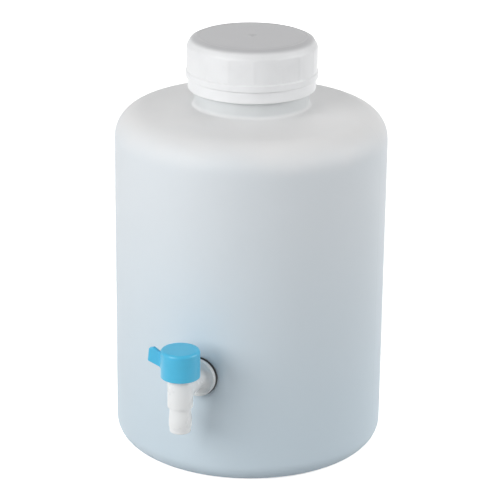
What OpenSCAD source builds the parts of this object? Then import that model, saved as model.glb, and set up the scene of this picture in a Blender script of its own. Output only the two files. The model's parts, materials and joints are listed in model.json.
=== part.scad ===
// Round wide-mouth carboy with a screw cap and a quarter-turn spigot.
// Millimetres, +Z up. The origin is the centre of the standing ring, and the spigot points along -Y.

/* [Bottle] */
// Outer diameter of the body
body_d = 225; // [180:1:300]
// Height of the body, up to the top of its shoulder curve
body_h = 288; // [200:1:400]
// Radius of the shoulder curve
shoulder_r = 24; // [12:0.5:40]
// Rise of the shoulder towards the neck, in degrees
shoulder_slope = 5; // [0:0.5:20]
// Radius of the heel curve at the foot
heel_r = 16.5; // [8:0.5:30]
// Wall thickness of the body
wall = 2.4; // [1.2:0.1:5]
// Height of the push-up under the base
punt_h = 4; // [1:0.5:10]
// Width of the flat standing ring
stand_w = 10; // [4:0.5:20]
// Width of the slope between the standing ring and the push-up
punt_slope_w = 9; // [4:0.5:20]

/* [Neck] */
// Outer diameter of the neck, at the thread root
neck_d = 94.4; // [60:0.2:130]
// Height of the neck above the shoulder
neck_h = 51.2; // [30:0.2:80]
// Wall thickness of the neck
neck_wall = 3; // [1.5:0.1:6]
// Rounding where the neck meets the shoulder
neck_fillet = 3; // [1:0.5:6]
// Rounding of the pouring lip
lip_r = 1; // [0.4:0.1:1.4]

/* [Cap] */
// Bare neck that shows below the cap
bare_neck = 13.6; // [6:0.2:24]
// Room left round the neck for the thread
thread_room = 2.6; // [1.6:0.1:4]
// Wall thickness of the skirt
skirt_wall = 2.6; // [1.6:0.1:5]
// Height of the plain ring at the foot of the cap
foot_ring_h = 9.8; // [4:0.2:16]
// Step outwards from the plain ring to the skirt
skirt_step = 1.1; // [0.4:0.1:3]
// Height of the raised band above the step
band_h = 5.8; // [2:0.2:12]
// How far the band and the ribs stand out of the skirt
rib_out = 0.7; // [0.3:0.1:2]
// Number of grip ribs
rib_count = 16; // [6:1:48]
// Width of a rib
rib_w = 4; // [3:0.1:8]
// How far the ribs run up over the rounded edge
rib_over = 4.6; // [0:0.2:6]
// Turn of the first rib from +X, in degrees
rib_clock = 0; // [0:0.1:22.5]
// Thickness of the top
cap_top = 3; // [1.6:0.1:5]
// Radius of the rounded top edge
edge_r = 8.5; // [6:0.5:10]
// Radius of the dimple round the gate mark
gate_r = 4; // [2:0.5:8]
// Depth of the dimple round the gate mark
gate_depth = 0.5; // [0.2:0.1:1.2]
// Thickness of the sealing disc
liner_t = 2.2; // [1:0.1:4]
// Gap above and below the sealing disc
seal_gap = 0.3; // [0.2:0.1:1]

/* [Spigot seat] */
// Height of the spigot's inlet above the table
tap_z = 93; // [60:1:140]
// Depth of the flat that is let into the round wall
seat_depth = 1.5; // [0.5:0.1:4]
// How far the flat reaches past the gasket
seat_margin = 4.6; // [1:0.1:12]
// Width of the slope round the flat
seat_slope_w = 2.5; // [1:0.5:6]
// Wall thickness behind the flat
seat_wall = 3.6; // [2:0.1:6]
// Radial gap between the shank and its hole
hole_gap = 0.4; // [0.2:0.1:1]

/* [Spigot body] */
// From the flat on the bottle to the middle of the barrel
reach = 37.2; // [28:0.2:60]
// Radius of the seat that the plug turns in
seat_bore_r = 7; // [5.6:0.1:12]
// Wall thickness of the barrel round that seat
barrel_wall = 3.2; // [2.4:0.1:6]
// Thickness of the barrel's floor, under the plug
floor_t = 2.5; // [1:0.1:8]
// Radius of the inlet passage
inlet_r = 4; // [2:0.1:5]
// Radius of the arm between the flange and the barrel
arm_r = 8.2; // [6:0.1:9.5]
// Radius of the flange
flange_r = 15.8; // [14:0.1:20]
// Thickness of the flange
flange_t = 3; // [2:0.1:6]
// Width of the raised rim of the flange
rim_w = 1.5; // [0.8:0.1:3]
// Height of the raised rim of the flange
rim_h = 1; // [0.4:0.1:2]
// Radius of the arm where it flares into the flange
flare_r = 12; // [10:0.1:14]
// Length of the flare
flare_l = 7; // [3:0.5:12]
// Radius of the threaded shank
shank_r = 8; // [6:0.1:11]
// Height of the collar that the knob snaps over
collar_h = 3.4; // [2:0.1:6]
// How far the collar stands out of the barrel
collar_out = 2.6; // [1.8:0.1:6]

/* [Spout] */
// Length of the spout below the barrel
spout_l = 21.1; // [14:0.1:50]
// Radius of the spout below the barrel
spout_r = 8.6; // [6.5:0.1:12]
// How far the barb stands out of the spout
barb_out = 0.6; // [0.4:0.1:2]
// Length of the barb's straight part
barb_l = 5.4; // [3:0.1:10]
// Length of the taper above the barb
barb_lead = 7; // [3:0.1:12]
// Length of the tapered tip
tip_l = 4.6; // [2:0.1:8]
// How much the tip narrows from the barb, in radius
tip_taper = 1.2; // [0.6:0.1:2.4]
// Radius of the passage through the spout
outlet_r = 5; // [3:0.1:6]

/* [Knob] */
// Height of the knob
knob_h = 23; // [21:0.5:40]
// Height of the knob's lower edge above the inlet
knob_lift = 13.9; // [12:0.1:30]
// Wall thickness of the knob's skirt
knob_wall = 2.2; // [1.5:0.1:4]
// Thickness of the knob's top
knob_top = 3; // [2:0.1:5]
// Rounding of the knob's top edge
knob_round = 2.4; // [0.8:0.1:4]
// How far the lever stands out of the knob
lever_l = 12; // [6:0.1:40]
// Thickness of the lever
lever_t = 3.4; // [2:0.1:8]
// Height of the lever's root above the knob's lower edge
lever_foot = 5.1; // [2:0.1:10]
// Height of the lever at its root
lever_root_h = 12; // [6:0.1:20]
// Height of the lever at its tip
lever_tip_h = 10.9; // [6:0.1:20]
// Rise of the lever's underside from root to tip
lever_rise = 4.4; // [0:0.1:10]
// Rise of the lever's crest above the top of its tip
lever_crest = 1.2; // [0:0.1:4]
// Width of the facet between the tip and the crest
lever_facet = 3.4; // [1:0.1:10]
// Angle that the lever turns through, in degrees
lever_swing = 90; // [60:1:120]

/* [Plug and seals] */
// Radial running gap between the plug and its seat
plug_gap = 0.08; // [0.02:0.01:0.1]
// Radius of the passage down the plug
plug_bore_r = 4.2; // [2:0.1:5]
// Thickness of the O-rings
o_ring_t = 1.8; // [1.2:0.1:2.4]
// Thickness of the outer gasket
gasket_t = 1.8; // [1:0.1:4]
// How far the outer gasket shows round the flange
gasket_over = 1.1; // [0:0.1:3]
// Thickness of the inner gasket
inner_gasket_t = 2; // [1:0.1:4]
// Width of the lock nut across its flats
nut_af = 27; // [22:0.5:36]
// Height of the lock nut
nut_h = 8; // [5:0.5:14]
// Thread left showing past the lock nut
thread_end = 3; // [1:0.5:10]

/* [Hidden] */
$fn = 96;
eps = 0.01;

// Bottle levels and radii
body_r = body_d / 2;
neck_r = neck_d / 2;
wall_top = body_h - shoulder_r;
slope_r = body_r - shoulder_r + shoulder_r * sin(shoulder_slope);
slope_z = wall_top + shoulder_r * cos(shoulder_slope);
slope_fall = tan(shoulder_slope);
neck_z = slope_z + (slope_r - neck_r) * slope_fall;
lip_z = neck_z + neck_h;
stand_r = body_r - heel_r;

// Cap levels and radii
liner_z = lip_z + seal_gap;
cap_in_z = liner_z + liner_t + seal_gap;
cap_z = cap_in_z + cap_top;
cap_foot_z = neck_z + bare_neck;
step_z = cap_foot_z + foot_ring_h;
band_z = step_z + band_h;
edge_z = cap_z - edge_r;
cap_bore_r = neck_r + thread_room;
foot_ring_r = cap_bore_r + skirt_wall;
skirt_r = foot_ring_r + skirt_step;
band_r = skirt_r + rib_out;
liner_gap = 0.6;
liner_r = cap_bore_r - liner_gap;
bead_t = 1;
rib_sink = 0.06;
rib_draft = 0.28;
gate_tip_r = 1;
gate_foot_r = 1.4;
gate_tip_h = 0.8 * gate_depth;

// Places along the spigot, measured outwards from the middle of the barrel towards the bottle
flat_y = body_r - seat_depth;
tap_y = flat_y + reach;
flange_back = reach - gasket_t;
flange_front = flange_back - flange_t;
seat_back = reach + seat_wall;
nut_front = seat_back + inner_gasket_t;
nut_back = nut_front + nut_h;
nut_flange_t = 1.6;
nut_flange_r = nut_af / 2 + 1.5;
shank_end = nut_back + thread_end;
hole_r = shank_r + hole_gap;
gasket_r = flange_r + gasket_over;
seat_r = gasket_r + seat_margin;
inner_gasket_r = nut_flange_r + 0.5;

// Heights in the spigot, measured from the inlet
groove_gap = 0.3;
groove_h = o_ring_t + 2 * groove_gap;
groove_land = 2;
lower_groove_z = -inlet_r - groove_land - groove_h / 2;
upper_groove_z = inlet_r + groove_land + groove_h / 2;
port_top = inlet_r + 0.5;
foot_land = 0.6;
foot_gap = 0.3;
plug_foot = lower_groove_z - groove_h / 2 - foot_land;
seat_floor = plug_foot - foot_gap;
barrel_foot = seat_floor - floor_t;
spout_end = barrel_foot - spout_l;
barb_z = spout_end + tip_l;
barb_step = 0.3;
snap_gap = 0.8;
snap_from = 0.6;
snap_h = 1;
collar_z = knob_lift + snap_from + snap_h + snap_gap;
collar_top = collar_z + collar_h;
stop_h = 2.6;
barrel_top = collar_top + 3;
head_gap = 0.3;
head_z = barrel_top + head_gap;
head_t = 2;
hub_z = head_z + head_t;
knob_floor = knob_lift + knob_h - knob_top;
drive_top = knob_floor - 1;
drive_room = 0.5;

// Radii in the spigot
barrel_r = seat_bore_r + barrel_wall;
barb_r = spout_r + barb_out;
tip_r = barb_r - tip_taper;
plug_r = seat_bore_r - plug_gap;
groove_floor_r = seat_bore_r - o_ring_t;
ring_wire_r = (o_ring_t - plug_gap) / 2;
collar_r = barrel_r + collar_out;
collar_gap = 0.7;
knob_in_r = collar_r + collar_gap;
knob_r = knob_in_r + knob_wall;
lever_reach = knob_r + lever_l;
snap_r = collar_r - 0.5;
stop_out_r = collar_r - 0.3;
stop_in_r = barrel_r + 0.4;
head_r = barrel_r - 1;
drive_r = head_r - 3;
drive_flat = 0.75 * drive_r;

// Stops of the quarter turn, as angles about the barrel
stop_w = 20;
stop_gap = 1.5;
lug_at = 45;
lug_lift = 0.4;
stop_from = [lug_at - stop_w - stop_gap, lug_at + lever_swing + stop_w + stop_gap];

// ---- shared shapes ----

// Half outline of the bottle's body, drawn t inside the outer skin, up to the foot of the neck
module body_half(t) {
    top_r = slope_r - t * sin(shoulder_slope);
    top_z = slope_z - t * cos(shoulder_slope);
    ring_in_r = stand_r - stand_w;
    difference() {
        union() {
            polygon([[0, t], [stand_r, t], [stand_r, heel_r], [body_r - t, heel_r],
                     [body_r - t, wall_top], [body_r - shoulder_r, wall_top],
                     [top_r, top_z], [0, top_z + top_r * slope_fall]]);
            translate([stand_r, heel_r]) circle(heel_r - t);
            translate([body_r - shoulder_r, wall_top]) circle(shoulder_r - t);
        }
        // push-up under the base
        polygon([[-1, t - 1], [ring_in_r, t - 1], [ring_in_r, t],
                 [ring_in_r - punt_slope_w, t + punt_h], [-1, t + punt_h]]);
    }
}

// A cylinder about the +Y axis, from y0 to y1
module y_rod(r, y0, y1) {
    translate([0, y0, 0]) rotate([-90, 0, 0]) cylinder(r = r, h = y1 - y0);
}

// A cone about the +Y axis
module y_cone(r0, r1, y0, y1) {
    translate([0, y0, 0]) rotate([-90, 0, 0]) cylinder(r1 = r0, r2 = r1, h = y1 - y0);
}

// Moves a shape drawn about the barrel's axis and the inlet's height to its place on the bottle
module at_tap() {
    translate([0, -tap_y, tap_z]) children();
}

// Sector of a flat ring, from angle a0 over sweep degrees
module ring_sector(r_in, r_out, a0, sweep, h) {
    steps = 8;
    outer = [for (i = [0:steps]) r_out * [cos(a0 + i * sweep / steps), sin(a0 + i * sweep / steps)]];
    inner = [for (i = [steps:-1:0]) r_in * [cos(a0 + i * sweep / steps), sin(a0 + i * sweep / steps)]];
    linear_extrude(h) polygon(concat(outer, inner));
}

// Plain washer about the Y axis
module washer(r_out, r_in, y0, t) {
    difference() {
        y_rod(r_out, y0, y0 + t);
        y_rod(r_in, y0 - 1, y0 + t + 1);
    }
}

// ---- sub-parts ----

// Fills the corner where the neck rises out of the sloping shoulder
module neck_corner() {
    centre_z = neck_z + neck_fillet * (1 / cos(shoulder_slope) - slope_fall);
    foot_r = neck_r + neck_fillet * (1 - sin(shoulder_slope));
    foot_z = centre_z - neck_fillet * cos(shoulder_slope);
    difference() {
        polygon([[neck_r - 1, centre_z], [neck_r - 1, neck_z - 2], [foot_r, foot_z - 1],
                 [foot_r, foot_z], [neck_r + neck_fillet, centre_z]]);
        translate([neck_r + neck_fillet, centre_z]) circle(neck_fillet);
    }
}

module bottle() {
    lip_in_r = neck_r - neck_wall;
    color("#dfe6ec")
    difference() {
        union() {
            rotate_extrude() {
                body_half(0);
                // neck with a rounded lip
                translate([0, neck_z - neck_fillet]) square([neck_r, neck_h + neck_fillet - lip_r]);
                translate([0, lip_z - lip_r - eps]) square([neck_r - lip_r, lip_r + eps]);
                translate([neck_r - lip_r, lip_z - lip_r]) circle(lip_r);
                neck_corner();
            }
            // disc that carries the flat
            at_tap() y_rod(seat_r, reach, reach + seat_wall);
        }
        difference() {
            rotate_extrude() {
                body_half(wall);
                translate([0, neck_z - 2 * neck_fillet]) square([lip_in_r, neck_h + 3 * neck_fillet]);
            }
            at_tap() y_rod(seat_r, 0, seat_back);
        }
        // the flat, with a slope up to the round wall
        at_tap() y_cone(seat_r + seat_slope_w, seat_r, reach - seat_slope_w, reach);
        // hole for the spigot's shank
        at_tap() y_rod(hole_r, reach - 5, seat_back + 5);
    }
}

module outer_gasket() {
    color("#1c1d20") at_tap() washer(gasket_r, hole_r, flange_back, gasket_t);
}

module inner_gasket() {
    color("#1c1d20") at_tap() washer(inner_gasket_r, hole_r, seat_back, inner_gasket_t);
}

// One moulding: barrel with collar and stops, spout, arm, flange and threaded shank
module tap_body() {
    color("#f2f3f3") at_tap()
    difference() {
        union() {
            translate([0, 0, barrel_foot]) cylinder(r = barrel_r, h = barrel_top - barrel_foot);
            translate([0, 0, collar_z]) cylinder(r = collar_r, h = collar_h);
            // stops for the quarter turn
            for (a = stop_from)
                translate([0, 0, collar_top - eps])
                    ring_sector(barrel_r - 1, stop_out_r, a - stop_w / 2, stop_w, stop_h);
            spout();
            y_rod(arm_r, 0, flange_front + eps);
            y_cone(arm_r, flare_r, flange_front - flare_l, flange_front);
            y_rod(flange_r, flange_front, flange_back);
            difference() {
                y_rod(flange_r, flange_front - rim_h, flange_front + eps);
                y_rod(flange_r - rim_w, flange_front - rim_h - 1, flange_front + 1);
            }
            y_rod(shank_r, flange_back - eps, shank_end);
        }
        translate([0, 0, seat_floor]) cylinder(r = seat_bore_r, h = barrel_top - seat_floor + 1);
        translate([0, 0, spout_end - 1]) cylinder(r = outlet_r, h = seat_floor - spout_end + 2);
        y_rod(inlet_r, 0, shank_end + 1);
    }
}

// Spout below the barrel, with a tapered tip and one barb that grips a tube
module spout() {
    barb_top = barb_z + barb_l;
    translate([0, 0, spout_end]) cylinder(r1 = tip_r, r2 = barb_r - barb_step, h = tip_l);
    translate([0, 0, barb_z]) cylinder(r = barb_r, h = barb_l);
    translate([0, 0, barb_top]) cylinder(r1 = barb_r, r2 = spout_r, h = barb_lead);
    translate([0, 0, barb_top]) cylinder(r = spout_r, h = barrel_foot - barb_top + 1);
}

module lock_nut() {
    color("#f2f3f3") at_tap()
    difference() {
        union() {
            y_rod(nut_flange_r, nut_front, nut_front + nut_flange_t);
            translate([0, nut_front + nut_flange_t - eps, 0]) rotate([-90, 0, 0])
                cylinder(r = nut_af / 2 / cos(30), h = nut_h - nut_flange_t + eps, $fn = 6);
        }
        y_rod(shank_r, nut_front - 1, nut_back + 1);
    }
}

// Outline of the drive on top of the plug: a round with two flats
module drive_shape() {
    intersection() {
        circle(drive_r);
        square([2 * drive_flat, 4 * drive_r], center = true);
    }
}

module valve_plug() {
    color("#e9eaea") at_tap()
    difference() {
        union() {
            translate([0, 0, plug_foot]) cylinder(r = plug_r, h = head_z - plug_foot + eps);
            translate([0, 0, head_z]) cylinder(r = head_r, h = head_t);
            translate([0, 0, head_z]) linear_extrude(drive_top - head_z) drive_shape();
        }
        for (z = [lower_groove_z, upper_groove_z])
            translate([0, 0, z - groove_h / 2]) difference() {
                cylinder(r = plug_r + 1, h = groove_h);
                translate([0, 0, -1]) cylinder(r = groove_floor_r, h = groove_h + 2);
            }
        // passage: in at the side, down and out at the foot
        translate([0, 0, plug_foot - 1]) cylinder(r = plug_bore_r, h = port_top - plug_foot + 1);
        rotate([0, 90, 0]) cylinder(r = inlet_r, h = plug_r + 1);
    }
}

module o_ring(z) {
    color("#1c1d20") at_tap()
    translate([0, 0, z]) rotate_extrude()
        translate([groove_floor_r + ring_wire_r, 0]) circle(ring_wire_r);
}

module upper_o_ring() {
    o_ring(upper_groove_z);
}

module lower_o_ring() {
    o_ring(lower_groove_z);
}

// Side view of the lever: a blade that rakes up away from the knob
module lever_side() {
    corner_r = 1;
    root_x = knob_r - 2;
    tip_x = lever_reach - corner_r;
    foot_z = knob_lift + lever_foot;
    tip_z = foot_z + lever_rise;
    crest_z = tip_z + lever_tip_h + lever_crest - corner_r;
    hull() {
        translate([root_x, foot_z + corner_r]) circle(corner_r);
        translate([root_x, foot_z + lever_root_h - corner_r]) circle(corner_r);
        translate([tip_x, tip_z + corner_r]) circle(corner_r);
        translate([tip_x - corner_r, tip_z + lever_tip_h - corner_r]) circle(corner_r);
        translate([tip_x - corner_r - lever_facet, crest_z]) circle(corner_r);
    }
}

module knob() {
    hollow_h = knob_floor - knob_lift + 1;
    color("#5bb8e6") at_tap()
    difference() {
        union() {
            // shell with a rounded top edge
            rotate_extrude() {
                translate([0, knob_lift]) square([knob_r, knob_h - knob_round]);
                translate([0, knob_lift]) square([knob_r - knob_round, knob_h]);
                translate([knob_r - knob_round, knob_lift + knob_h - knob_round]) circle(knob_round);
            }
            translate([0, lever_t / 2, 0]) rotate([90, 0, 0]) mirror([1, 0, 0])
                linear_extrude(lever_t) lever_side();
        }
        // hollow under the top, leaving the hub, the lug and the snap bead
        difference() {
            translate([0, 0, knob_lift - 1]) cylinder(r = knob_in_r, h = hollow_h);
            translate([0, 0, hub_z]) cylinder(r = head_r, h = knob_h);
            translate([0, 0, collar_top + lug_lift])
                ring_sector(stop_in_r, knob_in_r + 1, lug_at - stop_w / 2, stop_w, knob_h);
            translate([0, 0, knob_lift + snap_from]) difference() {
                cylinder(r = knob_in_r + 1, h = snap_h);
                translate([0, 0, -1]) cylinder(r = snap_r, h = snap_h + 2);
            }
        }
        // socket for the plug's drive
        translate([0, 0, head_z]) linear_extrude(drive_top - head_z + drive_room) drive_shape();
    }
}

module cap_liner() {
    color("#eceeee") translate([0, 0, liner_z]) cylinder(r = liner_r, h = liner_t);
}

module cap() {
    color("#f4f5f5")
    difference() {
        union() {
            rotate_extrude() cap_half();
            ribs();
        }
        // bore, with a bead that holds the sealing disc
        translate([0, 0, cap_foot_z - 1])
            cylinder(r = cap_bore_r, h = liner_z - bead_t - cap_foot_z + 1);
        translate([0, 0, liner_z - bead_t - 1]) cylinder(r = liner_r - liner_gap, h = bead_t + 2);
        translate([0, 0, liner_z - seal_gap])
            cylinder(r = cap_bore_r, h = cap_in_z - liner_z + seal_gap);
        // dimple round the gate mark
        translate([0, 0, cap_z - gate_depth]) difference() {
            cylinder(r = gate_r, h = 1);
            cylinder(r1 = gate_foot_r, r2 = gate_tip_r, h = gate_tip_h);
        }
    }
}

// Half outline of the cap's outside: plain ring, step, raised band, skirt and rounded edge
module cap_half() {
    polygon([[0, cap_foot_z], [foot_ring_r, cap_foot_z], [foot_ring_r, step_z], [band_r, step_z],
             [band_r, band_z - rib_out], [skirt_r, band_z], [skirt_r, edge_z], [skirt_r - edge_r, edge_z],
             [skirt_r - edge_r, cap_z], [0, cap_z]]);
    translate([skirt_r - edge_r, edge_z]) circle(edge_r);
}

// Grip ribs: a skin just outside the skirt and its rounded edge, kept only inside the wedges
module ribs() {
    skin = rib_out - rib_sink;
    foot_z = step_z + 1;
    in_r = cap_bore_r - 3;
    out_r = band_r + 1;
    in_w = rib_w / 2 + rib_draft * (skirt_r - in_r);
    out_w = rib_w / 2 - rib_draft * (out_r - skirt_r);
    intersection() {
        rotate_extrude() difference() {
            union() {
                translate([cap_bore_r, foot_z]) square([skirt_r + skin - cap_bore_r, edge_z - foot_z]);
                translate([skirt_r - edge_r, edge_z]) circle(edge_r + skin);
            }
            translate([0, edge_z + rib_over]) square([2 * skirt_r, 2 * edge_r]);
            translate([0, edge_z - 2 * edge_r]) square([cap_bore_r - 1, 4 * edge_r]);
        }
        union() for (i = [0:rib_count - 1]) rotate(rib_clock + i * 360 / rib_count)
            translate([0, 0, foot_z - 1]) linear_extrude(cap_z - foot_z)
                polygon([[in_r, -in_w], [out_r, -out_w], [out_r, out_w], [in_r, in_w]]);
    }
}

bottle();
outer_gasket();
tap_body();
inner_gasket();
lock_nut();
valve_plug();
upper_o_ring();
lower_o_ring();
knob();
cap_liner();
cap();
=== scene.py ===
"""Looks of a round wide-mouth carboy with a screw cap and a quarter-turn spigot.

It is built round the part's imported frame. Lengths in the code are in metres, written as
millimetres times MM, and the lists of sizes give millimetres.
"""

import json
import math

import bmesh
import bpy
import numpy as np
from mathutils import Matrix, Vector


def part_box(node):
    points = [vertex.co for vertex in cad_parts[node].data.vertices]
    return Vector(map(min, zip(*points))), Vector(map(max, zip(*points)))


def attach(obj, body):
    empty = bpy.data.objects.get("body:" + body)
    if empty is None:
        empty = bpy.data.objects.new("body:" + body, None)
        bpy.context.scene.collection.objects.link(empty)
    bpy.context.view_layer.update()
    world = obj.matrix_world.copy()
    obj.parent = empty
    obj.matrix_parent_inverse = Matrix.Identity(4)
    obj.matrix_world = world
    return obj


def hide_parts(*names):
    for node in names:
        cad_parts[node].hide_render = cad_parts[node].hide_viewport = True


bl_info = {
    "name": "Carboy with spigot",
    "version": (1, 0, 0),
    "blender": (4, 5, 0),
    "location": "View3D > Sidebar > Carboy",
    "description": "Builds the moulded bottle, cap and spigot of a carboy round its frame",
    "category": "Object",
}

MM = 0.001
TAU = 2 * math.pi

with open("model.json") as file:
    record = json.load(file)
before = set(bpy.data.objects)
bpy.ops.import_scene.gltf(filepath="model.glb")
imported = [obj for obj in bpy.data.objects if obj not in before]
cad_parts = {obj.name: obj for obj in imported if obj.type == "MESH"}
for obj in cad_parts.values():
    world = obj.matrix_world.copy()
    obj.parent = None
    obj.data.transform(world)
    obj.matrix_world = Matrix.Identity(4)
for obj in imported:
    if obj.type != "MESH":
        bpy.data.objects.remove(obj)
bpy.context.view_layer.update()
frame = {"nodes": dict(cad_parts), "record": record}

bottle_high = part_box("bottle")[1]
cap_low, cap_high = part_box("cap")
knob_low, knob_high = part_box("knob")
tap_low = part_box("tap_body")[0]
gasket_low, gasket_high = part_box("outer_gasket")

joints = {joint["name"]: joint for joint in frame["record"]["behaviour"]["joints"]}
spigot_turn = joints["spigot_turn"]
inlet = Vector(spigot_turn["pos_m"])

SAME_PLACE = 1e-7
LUG_AT = math.radians(45)  # where the knob's lug stands at rest, about the barrel
ALONG_ARM = Matrix.Rotation(-math.pi / 2, 4, "X")  # lays the Z axis from the barrel to the bottle
TO_SPIGOT = Matrix.Translation(inlet)
CLEAR_OF = 1 * MM  # how far a cutting piece runs past what it cuts


# ---- sizes and colours ----


def number(name, description, default, **options):
    """A number that a user can change."""
    return bpy.props.FloatProperty(name=name, description=description, default=default, **options)


def length(name, description, millimetres):
    """A length that a user can change."""
    return number(name, description, millimetres * MM, unit="LENGTH")


def angle(name, description, degrees):
    """An angle that a user can change, shown in degrees."""
    return number(name, description, math.radians(degrees), subtype="ANGLE")


def colour(name, description, red, green, blue):
    """A colour that a user can change, given as it shows on a screen, from 0 to 255."""
    return bpy.props.FloatVectorProperty(
        name=name,
        description=description,
        size=4,
        min=0,
        max=1,
        subtype="COLOR",
        default=(*[from_screen(c / 255) for c in (red, green, blue)], 1),
    )


def from_screen(c):
    """The linear value of a colour channel that shows as c."""
    return c / 12.92 if c <= 0.04045 else ((c + 0.055) / 1.055) ** 2.4


class CarboyBottle(bpy.types.PropertyGroup):
    """Sizes of the blow-moulded bottle."""

    body_radius: length("Body radius", "Outer radius of the body", bottle_high.x / MM)
    shoulder_top: length("Body height", "Where the shoulder curve would end at its top", 288)
    shoulder_radius: length("Shoulder radius", "Radius of the shoulder curve", 24)
    shoulder_slope: angle("Shoulder slope", "Rise of the shoulder towards the neck", 5)
    heel_radius: length("Heel radius", "Radius of the heel curve at the foot", 16.5)
    stand_width: length("Standing ring", "Width of the flat standing ring", 10)
    punt_height: length("Push-up", "Height of the push-up under the base", 4)
    punt_slope: length("Push-up slope", "Width of the slope round the push-up", 9)
    wall: length("Wall", "Wall thickness of the body", 2.4)
    neck_radius: length("Neck radius", "Outer radius of the neck at the thread root", 47.2)
    neck_wall: length("Neck wall", "Wall thickness of the neck", 3)
    neck_corner: length("Neck corner", "Rounding where the neck meets the shoulder", 3)
    lip_round: length("Lip", "Rounding of the pouring lip", 1)
    seat_radius: length("Seat radius", "Radius of the flat under the spigot", 21.5)
    seat_blend: length("Seat blend", "Width over which the flat runs out", 5)
    seat_wall: length("Seat wall", "Wall thickness behind the flat", 3.6)


class CarboyThread(bpy.types.PropertyGroup):
    """Sizes of the screw thread that the neck and the cap share."""

    pitch: length("Pitch", "Rise of the thread in one turn", 8)
    height: length("Height", "How far the ridge stands out", 2)
    width: length("Width", "Width of the ridge at its foot", 3.6)
    neck_start: length("Neck start", "Where the neck's ridge starts", 320)
    neck_turns: number("Neck turns", "Turns of the neck's ridge", 2.4, min=0.5)
    cap_turns: number("Cap turns", "Turns of the cap's ridge", 2.6, min=0.5)


class CarboyCap(bpy.types.PropertyGroup):
    """Sizes of the moulded screw cap."""

    skirt_radius: length("Skirt radius", "Outer radius of the skirt", cap_high.x / MM - 0.9)
    band_out: length("Band", "How far the band stands out of the skirt", 0.9)
    ring_in: length("Step", "Step inwards from the skirt to the plain ring", 0.9)
    wall: length("Wall", "Wall thickness at the plain ring", 2.6)
    top_t: length("Top", "Thickness of the top", 3)
    step_up: length("Ring height", "Height of the plain ring at the foot", 9.8)
    band_height: length("Band height", "Height of the raised band", 5.8)
    edge_radius: length("Edge radius", "Radius of the rounded top edge", 8.5)
    panel_radius: length("Panel radius", "Radius of the trough round the top", 43.4)
    crown: length("Crown", "Drop from the middle of the top to its rim", 0.2)
    trough: length("Trough", "Depth of the trough round the panel", 0.35)
    rib_count: bpy.props.IntProperty(
        name="Ribs", description="Number of grip ribs", default=16, min=1
    )
    rib_width: length("Rib width", "Width of a grip rib", 3.4)
    rib_soft: length("Rib softness", "Width of the slope at each side of a rib", 2)
    rib_out: length("Rib height", "How far the ribs stand out of the skirt", 0.24)
    rib_turn: angle("Rib turn", "Turn of the first rib from +X", 0)
    liner_foot: length("Liner foot", "From the lip to the sealing disc", 0.3)


class CarboySpigot(bpy.types.PropertyGroup):
    """Sizes of the spigot, measured from its barrel's middle at the inlet's height."""

    barrel_radius: length("Barrel radius", "Radius of the barrel", 10.2)
    barrel_foot: length("Barrel foot", "Depth of the barrel below the inlet", 11.8)
    seat_bore: length("Seat bore", "Radius of the seat that the plug turns in", 7)
    inlet: length("Inlet", "Radius of the inlet passage", 4)
    outlet: length("Outlet", "Radius of the passage through the spout", 5)
    arm_radius: length("Arm radius", "Radius of the arm", 8.2)
    arm_corner: length("Arm corner", "Rounding between arm and barrel", 1.6)
    flange_radius: length("Flange radius", "Radius of the flange", 15.8)
    flange_front: length("Flange front", "From the barrel's middle to the flange's dish", 32.4)
    flange_t: length("Flange thickness", "Thickness of the flange", 3)
    rim_width: length("Rim width", "Width of the raised rim of the flange", 1.5)
    rim_height: length("Rim height", "Height of the raised rim of the flange", 1)
    flare: length("Flare", "Radius of the trumpet at the flange", 5.2)
    shank_radius: length("Shank radius", "Radius over the shank's thread", 8)
    hole_gap: length("Hole gap", "Radial gap between the shank and its hole", 0.4)
    shank_ridge: length("Shank ridge", "Height of the shank's thread", 0.6)
    shank_end: length("Shank end", "From the barrel's middle to the shank's end", 53.8)
    collar_radius: length("Collar radius", "Radius of the collar under the knob", 12.8)
    collar_z: length("Collar height", "Height of the collar above the inlet", 16.3)
    collar_t: length("Collar thickness", "Thickness of the collar", 3.4)
    floor_t: length("Floor", "Thickness of the barrel's floor, under the plug", 2.5)
    neck_t: length("Barrel top", "Length of barrel above the collar", 3)
    stop_height: length("Stop height", "Height of the stops on the collar", 2.6)
    stop_width: angle("Stop width", "Sweep of a stop and of the lug", 20)
    stop_gap: angle("Stop gap", "Play between the lug and a stop", 1.5)
    spout_radius: length("Spout radius", "Radius of the spout below the barrel", 8.6)
    barb_radius: length("Barb radius", "Radius of the barb", 9.2)
    barb_length: length("Barb length", "Length of the barb's straight part", 5.4)
    barb_lead: length("Barb lead", "Length of the taper above the barb", 7)
    tip_length: length("Tip length", "Length of the tip below the barb", 4.6)
    tip_radius: length("Tip radius", "Radius at the end of the tip", 8.6)


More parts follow.
